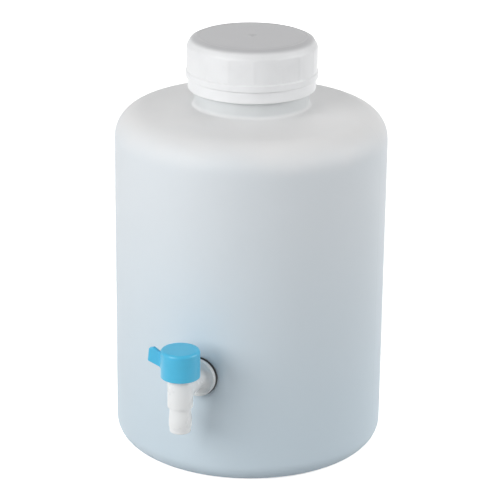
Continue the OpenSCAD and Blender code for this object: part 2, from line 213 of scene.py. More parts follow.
class CarboyKnob(bpy.types.PropertyGroup):
    """Sizes of the knob, measured from the barrel's middle at the inlet's height."""

    radius: length("Radius", "Outer radius of the knob", knob_high.x / MM)
    wall: length("Wall", "Wall thickness of the skirt", 2.2)
    top_t: length("Top", "Thickness of the top", 3)
    top_round: length("Top rounding", "Rounding of the top edge", 2.4)
    hub_radius: length("Hub radius", "Radius of the hub under the top", 9)
    hub_foot: length("Hub foot", "Height of the hub's lower end", 25)
    lever_t: length("Lever thickness", "Thickness of the lever", 3.4)
    lever_foot: length("Lever foot", "From the knob's edge up to the lever's root", 5.1)
    lever_root: length("Lever root", "Height of the lever at its root", 12)
    lever_tip: length("Lever tip", "Height of the lever at its tip", 10.9)
    lever_rise: length("Lever rise", "Rise of the underside from root to tip", 4.4)
    lever_crest: length("Lever crest", "Rise of the lever's crest above its tip", 1.2)
    lever_facet: length("Lever facet", "Width of the facet between tip and crest", 3.4)
    drive_radius: length("Drive radius", "Radius of the plug's drive", 6.2)
    drive_flat: length("Drive flat", "From the middle to a flat of the drive", 4.65)
    drive_depth: length("Drive depth", "From the knob's edge to its socket's end", 19.5)


class CarboyFinish(bpy.types.PropertyGroup):
    """Colours of the plastics and rubbers."""

    natural_neck: colour("Natural plastic, neck", "Plastic of the neck", 216, 219, 220)
    # painted light: a brighter shoulder, standing in for light that comes up through the
    # translucent body
    shoulder_glow_painted: colour("Natural plastic, top", "Plastic of the thick shoulder", 248, 248, 248)
    natural_high: colour("Natural plastic, high", "Plastic below the shoulder", 230, 237, 242)
    # painted shade: darker and bluer towards the foot, standing in for shade seen through the wall
    foot_shade_painted: colour("Natural plastic, low", "Plastic near the foot", 213, 230, 241)
    cap_white: colour("Cap white", "White of the cap", 236, 237, 238)
    # painted shade: the cap's top is darker, standing in for the weaker light that falls on it
    # from above
    cap_top_shade_painted: colour("Cap top", "Colour of the cap's thin top", 196, 196, 198)
    tap_white: colour("Spigot white", "White of the spigot's body and nut", 238, 240, 240)
    plug_white: colour("Plug white", "Off-white of the plug", 226, 227, 222)
    knob_blue: colour("Knob blue", "Sky blue of the knob", 71, 188, 227)
    rubber_black: colour("Rubber", "Black of the gaskets and O-rings", 30, 31, 34)
    liner_white: colour("Liner", "White of the sealing disc", 232, 232, 228)


class CarboyStage(bpy.types.PropertyGroup):
    """Camera, lamps and floor."""

    distance: length("Distance", "From the camera to where it looks", 1800.4)
    aim: length("Aim", "Height at which the camera looks", 163.66)
    azimuth: angle("Azimuth", "Turn round the carboy, from the spigot's front", 21.27)
    elevation: angle("Elevation", "Height of the camera above the horizon", 19.78)
    roll: angle("Roll", "Turn about the line of sight", 0.65)
    lens: number("Lens", "Focal length, for a sensor 36 mm wide", 154.34, unit="CAMERA")
    ambient: number(
        "Ambient light", "Light that comes from all round", 0.25, min=0, max=1, subtype="FACTOR"
    )


def sizes(name):
    """One of the groups of sizes above, as the scene holds it."""
    return getattr(bpy.context.scene, "carboy_" + name)


# ---- node trees as expressions ----


def sign(operation, swapped=False):
    """A method that adds a Math node where an arithmetic sign is written."""

    def method(self, other):
        return self.net.math(operation, *((other, self) if swapped else (self, other)))

    return method


class Wire:
    """A value that runs through a node tree. Arithmetic on it adds Math nodes."""

    def __init__(self, net, socket):
        self.net = net
        self.socket = socket

    __add__ = __radd__ = sign("ADD")
    __mul__ = __rmul__ = sign("MULTIPLY")
    __sub__ = sign("SUBTRACT")
    __rsub__ = sign("SUBTRACT", swapped=True)
    __truediv__ = sign("DIVIDE")

    def __abs__(self):
        return self.net.math("ABSOLUTE", self)


class Net:
    """Builds one node tree, of a material or of geometry."""

    def __init__(self, tree):
        self.tree = tree
        tree.nodes.clear()

    def socket(self, sockets, key):
        """The socket at a place, or with that identifier, or with that name."""
        if isinstance(key, int):
            return sockets[key]
        for s in sockets:
            if s.identifier == key:
                return s
        return sockets[key]

    def set(self, node, key, value):
        """Gives an input of a node a wire or a plain value."""
        socket = self.socket(node.inputs, key)
        if isinstance(value, Wire):
            self.tree.links.new(value.socket, socket)
        else:
            socket.default_value = value

    def add(self, kind, settings=None, values=None):
        """A new node. Its settings are made first, because they change its sockets."""
        node = self.tree.nodes.new(kind)
        for key, value in (settings or {}).items():
            setattr(node, key, value)
        for key, value in (values or {}).items():
            self.set(node, key, value)
        return node

    def node(self, kind, settings=None, values=None, out=0):
        """The same, as the wire that comes out of it."""
        return self.out(self.add(kind, settings, values), out)

    def out(self, node, key=0):
        return Wire(self, self.socket(node.outputs, key))

    def math(self, operation, *values):
        return self.node("ShaderNodeMath", {"operation": operation}, dict(enumerate(values)))

    def smooth(self, value, low, high):
        """0 before low, 1 past high, and an even curve between them. low may be the larger."""
        settings = {"interpolation_type": "SMOOTHSTEP"}
        values = {"Value": value, "From Min": low, "From Max": high}
        return self.node("ShaderNodeMapRange", settings, values)

    def radius(self, x, y):
        """Distance from the Z axis."""
        return self.math("SQRT", x * x + y * y)

    def parts(self, vector):
        node = self.add("ShaderNodeSeparateXYZ", values={0: vector})
        return [self.out(node, i) for i in range(3)]

    def vector(self, x, y, z):
        return self.node("ShaderNodeCombineXYZ", values={0: x, 1: y, 2: z})

    def mix(self, factor, a, b):
        """A colour between a and b."""
        values = {"Factor_Float": factor, "A_Color": a, "B_Color": b}
        return self.node("ShaderNodeMix", {"data_type": "RGBA"}, values, "Result_Color")

    def noise(self, place, scale, detail=2.0, stretch=(1, 1, 1)):
        """Noise from 0 to 1, with lumps of about one over scale metres."""
        place = self.node("ShaderNodeMapping", values={"Vector": place, "Scale": stretch})
        values = {"Vector": place, "Scale": scale, "Detail": detail}
        return self.node("ShaderNodeTexNoise", values=values)


# ---- geometry trees ----


def start_tree(name, sockets):
    """A geometry tree with named inputs, the wires of those inputs, and the tree's net."""
    tree = bpy.data.node_groups.new(name, "GeometryNodeTree")
    tree.is_modifier = True
    face = tree.interface
    face.new_socket("Geometry", in_out="INPUT", socket_type="NodeSocketGeometry")
    for label, kind in sockets:
        face.new_socket(label, in_out="INPUT", socket_type="NodeSocket" + kind)
    face.new_socket("Material", in_out="INPUT", socket_type="NodeSocketMaterial")
    face.new_socket("Geometry", in_out="OUTPUT", socket_type="NodeSocketGeometry")
    net = Net(tree)
    start = net.add("NodeGroupInput")
    labels = ["Geometry", "Material", *dict(sockets)]
    return tree, net, {label: net.out(start, label) for label in labels}


def end_tree(net, given, offset):
    """Ends a geometry tree: each corner moves by offset, and plain painted mesh comes out."""
    values = {"Geometry": given["Geometry"], "Offset": offset}
    moved = net.node("GeometryNodeSetPosition", values=values)
    plain = net.node("GeometryNodeRealizeInstances", values={"Geometry": moved})
    values = {"Geometry": plain, "Material": given["Material"]}
    painted = net.node("GeometryNodeSetMaterial", values=values)
    net.add("NodeGroupOutput", values={"Geometry": painted})


def turn_of(net, x, y):
    """How far round the Z axis a point is, from 0 to 1."""
    return net.math("FRACT", net.math("ARCTAN2", y, x) / TAU)


def thread_tree():
    """Raises a screw thread on a round surface about the Z axis."""
    lengths = ["Pitch", "Height", "Width", "Start", "Turns", "Root Radius"]
    tree, net, given = start_tree("Screw thread", [(name, "Float") for name in lengths])
    x, y, z = net.parts(net.node("GeometryNodeInputPosition"))
    turn = turn_of(net, x, y)
    climbed = (z - given["Start"]) / given["Pitch"]
    along = net.math("ROUND", climbed - turn) + turn
    off = abs(climbed - along) * given["Pitch"]
    foot, crest, run_in = 0.5, 0.16, 0.09  # two shares of the width, and one of a turn
    ridge = net.smooth(off, given["Width"] * foot, given["Width"] * crest)
    ends = net.smooth(along, 0, run_in) * net.smooth(given["Turns"] - along, 0, run_in)
    radius = net.radius(x, y)
    at_root = net.smooth(abs(radius - given["Root Radius"]), 0.3 * MM, 0.15 * MM)
    push = given["Height"] * ridge * ends * at_root / radius
    end_tree(net, given, net.vector(x * push, y * push, 0.0))
    return tree


def rib_tree():
    """Raises evenly spaced upright ribs on the outside of a round cap about the Z axis."""
    lengths = ["Width", "Softness", "Height", "Foot", "Top", "Skin Radius", "Turn"]
    sockets = [("Count", "Int")] + [(name, "Float") for name in lengths]
    tree, net, given = start_tree("Grip ribs", sockets)
    x, y, z = net.parts(net.node("GeometryNodeInputPosition"))
    radius = net.radius(x, y)
    round_by = (turn_of(net, x, y) - given["Turn"] / TAU) * given["Count"]
    from_middle = abs(net.math("FRACT", round_by + 0.5) - 0.5) * TAU * radius / given["Count"]
    half, soft = given["Width"] * 0.5, given["Softness"] * 0.5
    ridge = net.smooth(from_middle, half + soft, half - soft)
    reach = net.smooth(z, given["Foot"] - 1 * MM, given["Foot"])
    reach = reach * net.smooth(z, given["Top"] + 0.2 * MM, given["Top"] - 1 * MM)
    skin = net.smooth(radius, given["Skin Radius"] - 0.4 * MM, given["Skin Radius"])
    push = given["Height"] * ridge * reach * skin
    normal = net.parts(net.node("GeometryNodeInputNormal"))
    end_tree(net, given, net.vector(*[part * push for part in normal]))
    return tree


def grow(piece, tree, values):
    """Runs a geometry tree on a piece and keeps what comes out as its plain mesh."""
    step = piece.modifiers.new(tree.name, "NODES")
    step.node_group = tree
    for item in tree.interface.items_tree:
        if item.item_type == "SOCKET" and item.in_out == "INPUT" and item.name in values:
            step[item.identifier] = values[item.name]
    settle(piece)


def grow_thread(piece, shape, start, turns, root, material):
    """Raises a thread on a piece. Its shape is its pitch, height and width."""
    names = ("Pitch", "Height", "Width", "Start", "Turns", "Root Radius", "Material")
    grow(piece, thread_tree(), dict(zip(names, (*shape, start, turns, root, material))))


# ---- meshes ----


def settle(piece):
    """Makes what a piece's modifiers give its own plain mesh, and removes them."""
    graph = bpy.context.evaluated_depsgraph_get()
    graph.update()
    old = piece.data
    piece.data = bpy.data.meshes.new_from_object(
        piece.evaluated_get(graph), preserve_all_data_layers=True, depsgraph=graph
    )
    piece.modifiers.clear()
    bpy.data.meshes.remove(old)


def rounded(corners, loop=False, step=math.radians(10)):
    """Points along an outline of corners (x, y, rounding), with each corner made an arc."""
    places = [np.array(c[:2], float) for c in corners]
    last = len(corners) - 1
    points = []
    for i, (here, corner) in enumerate(zip(places, corners)):
        if corner[2] == 0 or (not loop and i in (0, last)):
            points.append(here)
            continue
        back = places[i - 1] - here
        on = places[(i + 1) % len(places)] - here
        back, on = back / np.linalg.norm(back), on / np.linalg.norm(on)
        half = math.acos(float(np.clip(back @ on, -1, 1))) / 2
        middle = back + on
        centre = here + middle / np.linalg.norm(middle) * corner[2] / math.sin(half)
        first = here + back * corner[2] / math.tan(half) - centre
        end = here + on * corner[2] / math.tan(half) - centre
        sweep = math.pi - 2 * half
        steps = max(2, math.ceil(sweep / step))
        for k in range(steps + 1):
            a = sweep * k / steps
            bow = first * math.sin(sweep - a) + end * math.sin(a)
            points.append(centre + bow / math.sin(sweep))
    return points


def spaced(points, longest, loop=False):
    """The same outline with points added, so that no stretch is longer than longest.

    longest is a length, or a function that gives it at a stretch's middle.
    """
    found = []
    for a, b in zip(points, points[1:] + points[:1] if loop else points[1:]):
        size = np.linalg.norm(b - a)
        if size < SAME_PLACE:
            continue
        limit = longest((a + b) / 2) if callable(longest) else longest
        steps = max(1, math.ceil(size / limit))
        found += [a + (b - a) * k / steps for k in range(steps)]
    return found if loop else found + [points[-1]]


def even(number):
    """Angles of evenly spaced columns."""
    return [TAU * k / number for k in range(number)]


def revolved(name, outline, angles, longest=None, material=None, loop=False):
    """A piece whose outline of (radius, height) turns about the Z axis, a column at each angle.

    An open outline starts and ends on the axis. longest is as spaced() takes it.
    """
    points = spaced(outline, longest, loop) if longest else outline
    corners, rows, faces = [], [], []
    sin, cos = np.sin(angles), np.cos(angles)
    n = len(angles)
    for r, z in points:
        if r < SAME_PLACE:
            rows.append([len(corners)])
            corners.append((0.0, 0.0, z))
        else:
            rows.append(range(len(corners), len(corners) + n))
            corners += zip(r * cos, r * sin, [z] * n)
    for low, high in zip(rows, rows[1:] + rows[:1] if loop else rows[1:]):
        for k in range(n):
            j = (k + 1) % n
            if len(low) == 1:
                faces.append((low[0], high[k], high[j]))
            elif len(high) == 1:
                faces.append((low[j], low[k], high[0]))
            else:
                faces.append((low[j], low[k], high[k], high[j]))
    return new_piece(name, corners, faces, material)


def new_object(name, data):
    """A new object of the scene, at the origin."""
    made = bpy.data.objects.new(name, data)
    bpy.context.scene.collection.objects.link(made)
    return made


def new_piece(name, corners, faces, material=None):
    """A closed mesh object whose faces point outwards."""
    mesh = bpy.data.meshes.new(name)
    mesh.from_pydata([tuple(float(v) for v in c) for c in corners], [], faces)
    piece = new_object(name, mesh)
    work = bmesh.new()
    work.from_mesh(mesh)
    bmesh.ops.remove_doubles(work, verts=work.verts, dist=SAME_PLACE)
    bmesh.ops.recalc_face_normals(work, faces=work.faces)
    work.to_mesh(mesh)
    work.free()
    if material:
        mesh.materials.append(material)
    return piece


def polish(piece, sharp=32):
    """Smooth shading, with an edge kept sharp where its faces turn by more than sharp degrees."""
    mesh = piece.data
    mesh.shade_smooth()
    mesh.set_sharp_from_angle(angle=math.radians(sharp))
    mesh.update()


def reshape(piece, change):
    """Moves a piece's corners by a function of their places, an array with one row a corner."""
    mesh = piece.data
    places = np.empty(len(mesh.vertices) * 3)
    mesh.vertices.foreach_get("co", places)
    mesh.vertices.foreach_set("co", change(places.reshape(-1, 3)).ravel())
    mesh.update()


def place(piece, matrix):
    """Moves a piece's mesh, and leaves its object at the origin."""
    piece.data.transform(matrix)
    piece.data.update()


def combine(piece, others, operation):
    """Adds others to a piece, or cuts them out of it, and removes them."""
    for other in others:
        step = piece.modifiers.new(operation, "BOOLEAN")
        step.operation = operation
        step.solver = "EXACT"
        step.object = other
        settle(piece)
        bpy.data.objects.remove(other)


def prism(name, outline, low, high):
    """An outline in the XY plane, drawn up from low to high."""
    n = len(outline)
    corners = [(x, y, low) for x, y in outline] + [(x, y, high) for x, y in outline]
    faces = [tuple(range(n))[::-1], tuple(range(n, 2 * n))]
    faces += [(k, (k + 1) % n, n + (k + 1) % n, n + k) for k in range(n)]
    return new_piece(name, corners, faces)


def sector(name, r_in, r_out, middle, sweep, low, high):
    """A sector of a flat ring about the Z axis."""
    steps = 8
    turns = [middle - sweep / 2 + sweep * k / steps for k in range(steps + 1)]
    outline = [(r_out * math.cos(a), r_out * math.sin(a)) for a in turns]
    outline += [(r_in * math.cos(a), r_in * math.sin(a)) for a in reversed(turns)]
    return prism(name, outline, low, high)


def smoothstep(values, low, high):
    """0 before low, 1 past high, and an even curve between them, for an array."""
    t = np.clip((values - low) / (high - low), 0, 1)
    return t * t * (3 - 2 * t)


# ---- materials ----


def plastic(name, sockets):
    """A new material of one Principled shader: its net, the wire of the piece's own coordinates,
    and the shader.
    """
    material = bpy.data.materials.new(name)
    material.use_nodes = True
    net = Net(material.node_tree)
    shader = net.add("ShaderNodeBsdfPrincipled", values=sockets)
    net.add("ShaderNodeOutputMaterial", values={"Surface": net.out(shader)})
    return net, net.node("ShaderNodeTexCoord", out="Object"), shader


def soft_light(weight, depth):
    """Sockets for light that goes a little way into the plastic."""
    return {
        "Subsurface Weight": weight,
        "Subsurface Radius": (1.0, 1.0, 1.0),
        "Subsurface Scale": depth,
    }


def bump(net, shader, height):
    """Raises the surface by height, in metres."""
    values = {"Height": height, "Distance": 1.0}
    net.set(shader, "Normal", net.node("ShaderNodeBump", values=values))


def scaled(base, factor):
    """A colour times a factor."""
    return [factor * c for c in base[:3]] + [1.0]


def natural_plastic():
    """Milky blow-moulded plastic with waves, grain, a parting line and a pinch-off seam."""
    finish, top = sizes("finish"), sizes("bottle").shoulder_top
    sockets = {"IOR": 1.5, "Specular IOR Level": 0.3, **soft_light(weight=0.35, depth=9 * MM)}
    net, spot, shader = plastic("natural_plastic", sockets)
    x, y, z = net.parts(spot)
    cloudy = net.noise(spot, scale=9.0, detail=3.0)
    height = z + (cloudy - 0.5) * (30 * MM)
    # painted shade: the body runs darker and bluer from the shoulder down to the foot
    high = net.smooth(height, 0.0, top)
    # painted light: the shoulder is made lighter, standing in for light that comes up through the
    # body
    painted_glow = net.smooth(height, top - 26 * MM, top + 2 * MM)
    on_neck = net.smooth(z, top + 2.5 * MM, top + 7 * MM)
    body = net.mix(high, finish.foot_shade_painted, finish.natural_high)
    body = net.mix(painted_glow, body, finish.shoulder_glow_painted)
    body = net.mix(on_neck, body, finish.natural_neck)
    mottled = net.smooth(net.noise(spot, scale=26.0, detail=4.0), 0.3, 0.7)
    body = net.mix(mottled * 0.03, body, scaled(finish.foot_shade_painted, 0.93))
    net.set(shader, "Base Color", body)

    waves = net.noise(spot, scale=11.0, detail=1.0, stretch=(1, 1, 0.6)) * (0.9 * MM)
    grain = net.noise(spot, scale=950.0, detail=2.0) * (0.012 * MM)
    on_side = net.smooth(abs(x), 30 * MM, 40 * MM)
    parting = net.smooth(abs(y), 0.9 * MM, 0.2 * MM) * on_side * (0.12 * MM)
    under = net.smooth(z, 12 * MM, 8 * MM) * net.smooth(abs(x), 62 * MM, 56 * MM)
    pinch = net.smooth(abs(y), 1.6 * MM, 0.5 * MM) * under * (0.5 * MM)
    bump(net, shader, waves + grain + parting + pinch)
    scuffed = net.smooth(z, 14 * MM, 2 * MM) * net.noise(spot, scale=160.0, detail=4.0)
    net.set(shader, "Roughness", 0.46 + cloudy * 0.08 + scuffed * 0.2)


def moulded_plastic(name, base, roughness, grain, depth=2.5 * MM, weight=0.2, lumps=60.0):
    """Injection-moulded plastic with a satin grain, faintly cloudy in gloss and colour."""
    net, spot, shader = plastic(name, {"IOR": 1.49, **soft_light(weight=weight, depth=depth)})
    cloudy = net.noise(spot, scale=lumps, detail=3.0)
    dull = scaled(base, 0.965)
    tone = net.mix(net.smooth(cloudy, 0.25, 0.6), dull, base)
    net.set(shader, "Base Color", tone)
    fine, flow = net.noise(spot, scale=1400.0, detail=2.0), net.noise(spot, scale=40.0, detail=1.0)
    bump(net, shader, fine * grain + flow * (grain * 9))
    net.set(shader, "Roughness", roughness - 0.04 + cloudy * 0.08)
    return net, spot, shader, tone


def cap_plastic():
    """White cap plastic, with painted shade that makes the top a little darker than the sides."""
    finish, panel = sizes("finish"), sizes("cap").panel_radius
    net, spot, shader, tone = moulded_plastic("cap_plastic", finish.cap_white, 0.38, 0.006 * MM)
    x, y, z = net.parts(spot)
    # painted shade: the top, out to past the trough, takes the darker top colour
    painted_shade = net.smooth(z, cap_high.z - 4.6 * MM, cap_high.z - 1.4 * MM)
    painted_shade = painted_shade * net.smooth(net.radius(x, y), panel + 10 * MM, panel + 4 * MM)
    net.set(shader, "Base Color", net.mix(painted_shade, tone, finish.cap_top_shade_painted))


def black_rubber():
    """Matt black rubber with a fine speckle and a dusty bloom."""
    base = sizes("finish").rubber_black
    net, spot, shader = plastic("black_rubber", {"IOR": 1.52})
    bloom = net.smooth(net.noise(spot, scale=220.0, detail=5.0), 0.45, 0.75)
    net.set(shader, "Base Color", net.mix(bloom, base, scaled(base, 2.2)))
    bump(net, shader, net.noise(spot, scale=2600.0, detail=3.0) * (0.03 * MM))
    net.set(shader, "Roughness", 0.58 + bloom * 0.2)


def foam_liner():
    """Closed-cell foam of the sealing disc, with a pressed ring where the lip bites."""
    base, bottle = sizes("finish").liner_white, sizes("bottle")
    net, spot, shader = plastic("foam_liner", soft_light(weight=0.15, depth=1.5 * MM))
    x, y = net.parts(spot)[:2]
    values = {"Vector": spot, "Scale": 1500.0}
    cells = net.node("ShaderNodeTexVoronoi", values=values, out="Distance")
    lip = bottle.neck_radius - bottle.neck_wall / 2
    pressed = net.smooth(abs(net.radius(x, y) - lip), 1.9 * MM, 1.2 * MM)
    net.set(shader, "Base Color", net.mix(1 - pressed, scaled(base, 0.92), base))
    bump(net, shader, cells * (0.05 * MM) - pressed * (0.3 * MM))
    net.set(shader, "Roughness", 0.7 - pressed * 0.2)


def finishes():
    """The materials by name, made once."""
    made = bpy.data.materials
    if "natural_plastic" not in made:
        finish = sizes("finish")
        natural_plastic()
        cap_plastic()
        white, off_white, blue = finish.tap_white, finish.plug_white, finish.knob_blue
        moulded_plastic("spigot_plastic", white, 0.28, 0.002 * MM, depth=0.9 * MM, weight=0.1)
        moulded_plastic("plug_plastic", off_white, 0.34, 0.004 * MM)
        moulded_plastic(
            "knob_plastic", blue, 0.3, 0.003 * MM, depth=1.5 * MM, weight=0.15, lumps=90.0
        )
        black_rubber()
        foam_liner()
    return made


def paint(node, material):
    """Gives a CAD node its material."""
    slots = frame["nodes"][node].material_slots
    if not slots:
        frame["nodes"][node].data.materials.append(material)
    for slot in slots:
        slot.material = material


# ---- pieces ----


def slope_at(radius, drop=0.0):
    """Height of the bottle's sloping shoulder at a radius, or of a surface drop under it."""
    b = sizes("bottle")
    rise, fall = b.shoulder_slope, math.tan(b.shoulder_slope)
    start_r = b.body_radius - b.shoulder_radius * (1 - math.sin(rise))
    start_z = b.shoulder_top - b.shoulder_radius * (1 - math.cos(rise))
    return start_z + (start_r - radius) * fall - drop / math.cos(rise)


def bottle_outline():
    """Outline of the bottle, from the middle of its foot up to the lip and back down inside."""
    b = sizes("bottle")
    lip_z = bottle_high.z
    stand_in = b.body_radius - b.heel_radius - b.stand_width
    punt_in = stand_in - b.punt_slope
    inner = b.body_radius - b.wall
    mouth = b.neck_radius - b.neck_wall
    corners = [
        (0, b.punt_height, 0),
        (punt_in, b.punt_height, 12 * MM),
        (stand_in, 0, 9 * MM),
        (b.body_radius, 0, b.heel_radius),
        (b.body_radius, slope_at(b.body_radius), b.shoulder_radius),
        (b.neck_radius, slope_at(b.neck_radius), b.neck_corner),
        (b.neck_radius, lip_z, b.lip_round),
        (mouth, lip_z, b.lip_round),
        (mouth, slope_at(mouth, b.wall), 4 * MM),
        (inner, slope_at(inner, b.wall), b.shoulder_radius - b.wall),
        (inner, b.wall, b.heel_radius - b.wall),
        (stand_in, b.wall, 9 * MM),
        (punt_in, b.punt_height + b.wall, 12 * MM),
        (0, b.punt_height + b.wall, 0),
    ]
    return rounded(corners, step=math.radians(6))


def bottle_step(point):
    """The longest stretch of the bottle's outline that is fine enough at a point."""
    radius, z = point
    b, thread_start = sizes("bottle"), sizes("thread").neck_start
    outside_neck = radius > b.neck_radius - b.neck_wall * 0.4
    if outside_neck and thread_start - 6 * MM < z < thread_start + 22.5 * MM:
        return 0.45 * MM
    near_spigot = abs(z - inlet.z) < 32 * MM and radius > b.body_radius - 12.5 * MM
    return 1.1 * MM if near_spigot else 7 * MM


def bottle_columns():
    """Angles of the bottle's columns, close together round the spigot."""
    fine, fine_each_side, others = math.radians(0.55), 28, 150
    near = [-math.pi / 2 + fine * k for k in range(-fine_each_side, fine_each_side + 1)]
    rest = TAU - (near[-1] - near[0])
    return near + [near[-1] + rest * k / others for k in range(1, others)]


def press_seat(places):
    """Flattens the round wall under the spigot, and makes the wall behind that flat thicker."""
    b = sizes("bottle")
    depth, short_of, past = 1.5 * MM, 0.6 * MM, 1 * MM
    outside, inside = b.body_radius, b.body_radius - b.wall
    flat = depth - outside
    x, y, z = places.T
    radius = np.hypot(x, y)
    away = np.hypot(x, z - inlet.z)
    on_flat = 1 - smoothstep(away, b.seat_radius - 0.5 * MM, b.seat_radius + b.seat_blend)
    for low, high, level in (
        (outside - short_of, outside + past, flat),
        (inside - past, inside + short_of, flat + b.seat_wall),
    ):
        here = (y < 0) & (radius > low) & (radius < high)
        y[here] += (level - y[here]) * on_flat[here]
    return np.column_stack((x, y, z))


def hole_outline():
    """The hole for the spigot's shank, as a rod that cuts it."""
    s = sizes("spigot")
    radius = s.shank_radius + s.hole_gap
    start, end = s.flange_front, s.flange_front + 16 * MM
    return [(0, start), (radius, start), (radius, end), (0, end)]


class CARBOY_OT_bottle(bpy.types.Operator):
    """Build the blow-moulded bottle with its threaded neck and the flat for the spigot"""

    bl_idname = "carboy.bottle"
    bl_label = "Bottle"

    def execute(self, context):
        b, thread = sizes("bottle"), sizes("thread")
        natural = finishes()["natural_plastic"]
        piece = revolved("bottle_shell", bottle_outline(), bottle_columns(), bottle_step, natural)
        shape = thread.pitch, thread.height, thread.width
        grow_thread(piece, shape, thread.neck_start, thread.neck_turns, b.neck_radius, natural)
        reshape(piece, press_seat)
        hole = revolved("hole", hole_outline(), even(72))
        place(hole, TO_SPIGOT @ ALONG_ARM)
        combine(piece, [hole], "DIFFERENCE")
        polish(piece, sharp=40)
        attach(piece, "bottle")
        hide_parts("bottle")
        return {"FINISHED"}


def cap_outline():
    """Outline of the cap, from the middle of its top down to its foot and back up inside."""
    c = sizes("cap")
    top, foot = cap_high.z, cap_low.z
    step_z = foot + c.step_up
    band_z = step_z + c.band_height
    skirt = c.skirt_radius
    ring = skirt - c.ring_in
    bore = ring - c.wall
    liner_z = bottle_high.z + c.liner_foot
    bead = bore - 1.2 * MM
    dimple = top - 0.55 * MM
    rim = top - c.crown
    beside_trough = 1.8 * MM
    corners = [
        # the gate's nub in its dimple
        (0, top - 0.1 * MM, 0),
        (0.9 * MM, top - 0.15 * MM, 0.2 * MM),
        (1.4 * MM, dimple, 0.3 * MM),
        (2.6 * MM, dimple, 1 * MM),
        (4.2 * MM, top, 2 * MM),
        # panel, trough and rounded edge
        (c.panel_radius - beside_trough, rim, 3 * MM),
        (c.panel_radius, rim - c.trough, 1 * MM),
        (c.panel_radius + beside_trough, rim, 0.7 * MM),
        (skirt - 2.9 * MM, top - 2.4 * MM, 4 * MM),
        (skirt, top - c.edge_radius + 1 * MM, 4 * MM),
        # band and plain ring
        (skirt, band_z + 0.3 * MM, 0.8 * MM),
        (skirt + c.band_out, band_z - 0.7 * MM, 0.7 * MM),
        (skirt + c.band_out, step_z, 0.7 * MM),
        (ring, step_z - 0.15 * MM, 0.5 * MM),
        (ring, foot, 0.8 * MM),
        # bore, with the bead that holds the sealing disc
        (bore, foot, 0.6 * MM),
        (bore, liner_z - 1 * MM, 0.2 * MM),
        (bead, liner_z - 0.75 * MM, 0.2 * MM),
        (bead, liner_z - 0.45 * MM, 0.2 * MM),
        (bore, liner_z - 0.3 * MM, 0.1 * MM),
        (bore, top - c.top_t, 0.3 * MM),
        (0, top - c.top_t, 0),
    ]
    return rounded(corners)


def cap_step(point):
    """The longest stretch of the cap's outline that is fine enough at a point."""
    radius, z = point
    c = sizes("cap")
    bore = c.skirt_radius - c.ring_in - c.wall
    if radius < bore + 1 * MM and z < cap_high.z - 6.7 * MM:
        return 0.75 * MM
    on_skirt = radius > c.skirt_radius - 3.3 * MM
    return 1.6 * MM if on_skirt else 3.5 * MM


def cap_columns():
    """Angles of the cap's columns, close together on the sides of each rib."""
    c = sizes("cap")
    half_pitch = TAU / c.rib_count / 2
    side = (c.rib_width + c.rib_soft) / 2 / c.skirt_radius * 1.08
    core = max(c.rib_width - c.rib_soft, 0) / 2 / c.skirt_radius
    on_slope, between = np.linspace(core, side, 7), np.linspace(side, half_pitch, 6)[1:]
    half = [0, core / 2, *on_slope, *between]
    offsets = [-a for a in half[:0:-1]] + half[:-1]
    return [c.rib_turn + 2 * half_pitch * k + a for k in range(c.rib_count) for a in offsets]


class CARBOY_OT_cap(bpy.types.Operator):
    """Build the screw cap with its grip ribs, band and inner thread"""

    bl_idname = "carboy.cap"
    bl_label = "Cap"

    def execute(self, context):
        c, thread = sizes("cap"), sizes("thread")
        white = finishes()["cap_plastic"]
        piece = revolved("screw_cap", cap_outline(), cap_columns(), cap_step, white)
        ribs = {
            "Count": c.rib_count,
            "Width": c.rib_width,
            "Softness": c.rib_soft,
            "Height": c.rib_out,
            "Foot": cap_low.z + c.step_up + c.band_height,
            "Top": cap_high.z - c.edge_radius + 1 * MM,
            "Skin Radius": c.skirt_radius - 0.2 * MM,
            "Turn": c.rib_turn,
            "Material": white,
        }
        grow(piece, rib_tree(), ribs)
        shape = thread.pitch, -thread.height, thread.width
        start = thread.neck_start - thread.pitch / 2
        bore = c.skirt_radius - c.ring_in - c.wall
        grow_thread(piece, shape, start, thread.cap_turns, bore, white)
        polish(piece, sharp=50)
        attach(piece, "cap")
        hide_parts("cap")
        return {"FINISHED"}


def barrel_outline():
    """Outline of the barrel, its collar and the barbed spout, without their passages."""
    s = sizes("spigot")
    collar_top = s.collar_z + s.collar_t
    top = collar_top + s.neck_t
    end = tap_low.z - inlet.z
    barb = end + s.tip_length
    barb_top = barb + s.barb_length
    corners = [
        (0, top, 0),
        (s.barrel_radius, top, 0.5 * MM),
        (s.barrel_radius, collar_top, 0.4 * MM),
        (s.collar_radius, collar_top, 0.5 * MM),
        (s.collar_radius, s.collar_z, 0.5 * MM),
        (s.barrel_radius, s.collar_z, 0.6 * MM),
        (s.barrel_radius, -s.barrel_foot, 0.4 * MM),
        (s.spout_radius, -s.barrel_foot + 0.5 * MM, 0.25 * MM),
        (s.spout_radius, barb_top + s.barb_lead, 8 * MM),
        (s.barb_radius, barb_top, 8 * MM),
        (s.barb_radius, barb, 0.2 * MM),
        (s.barb_radius - 0.5 * MM, barb + 0.1 * MM, 0.12 * MM),
        (s.tip_radius, end, 0.7 * MM),
        (0, end, 0),
    ]
    return rounded(corners)


def passage_outline():
    """The plug's seat and the way down through the spout, as a rod that cuts them."""
    s = sizes("spigot")
    seat = -s.barrel_foot + s.floor_t
    top = s.collar_z + s.collar_t + s.neck_t
    end = tap_low.z - inlet.z
    corners = [
        (0, top + 2 * CLEAR_OF, 0),
        (s.seat_bore + 2 * MM, top + 2 * CLEAR_OF, 0),
        (s.seat_bore, top - 1 * MM, 0.8 * MM),
        (s.seat_bore, seat, 0.3 * MM),
        (s.outlet, seat, 0.4 * MM),
        (s.outlet, end + 1.2 * MM, 1 * MM),
        (s.outlet + 1 * MM, end - CLEAR_OF, 0),
        (0, end - CLEAR_OF, 0),
    ]
    return rounded(corners)


